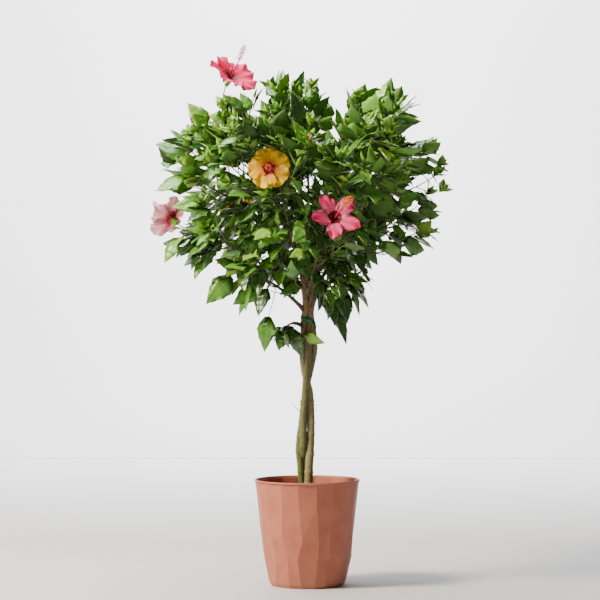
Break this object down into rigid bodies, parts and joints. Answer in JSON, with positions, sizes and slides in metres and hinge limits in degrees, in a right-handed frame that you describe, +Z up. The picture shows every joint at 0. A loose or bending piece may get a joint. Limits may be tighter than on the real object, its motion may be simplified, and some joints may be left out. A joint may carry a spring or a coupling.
{
  "type": "potted hibiscus shrub",
  "caption": "Flowering hibiscus standard: a plaited trunk and an open round crown of leaves, buds and blooms, in a round facetted pot.",
  "frame": {"origin": "centre of the pot's flat underside", "axes": "+Z up along the trunk; -Y towards the front, the side that shows most blooms; +X to the right as seen from the front"},
  "size_m": [0.7663, 0.6929, 1.3398],
  "materials": {
    "pot": "matte moulded terracotta colour",
    "potting_mix": "loose and dull",
    "stem_bark": "smooth tan bark with green tints",
    "bough_bark": "dull brown bark",
    "tie": "satin green tape",
    "foliage": "glossy green leaves, with pink, yellow and pale blooms"
  },
  "bodies": {
    "root": {"bough_back_left": "bough_bark", "bough_back_low": "bough_bark", "bough_back_right": "bough_bark", "bough_back_top": "bough_bark", "bough_front_left": "bough_bark", "bough_front_low": "bough_bark", "bough_front_right": "bough_bark", "bough_left_side": "bough_bark", "bough_left_top": "bough_bark", "bough_left_upper": "bough_bark", "bough_low_left": "bough_bark", "bough_low_right": "bough_bark", "bough_right_side": "bough_bark", "bough_right_top": "bough_bark", "bough_right_upper": "bough_bark", "bough_top": "bough_bark", "bough_trunk_spur": "bough_bark", "foliage_back_left": "foliage", "foliage_back_low": "foliage", "foliage_back_right": "foliage", "foliage_back_top": "foliage", "foliage_front_left": "foliage", "foliage_front_low": "foliage", "foliage_front_right": "foliage", "foliage_left_side": "foliage", "foliage_left_top": "foliage", "foliage_left_upper": "foliage", "foliage_low_left": "foliage", "foliage_low_right": "foliage", "foliage_right_side": "foliage", "foliage_right_top": "foliage", "foliage_right_upper": "foliage", "foliage_top": "foliage", "foliage_trunk_spur": "foliage", "pot": "pot", "soil": "potting_mix", "stem_left": "stem_bark", "stem_middle": "stem_bark", "stem_right": "stem_bark", "trunk_tie": "tie"}
  },
  "joints": []
}
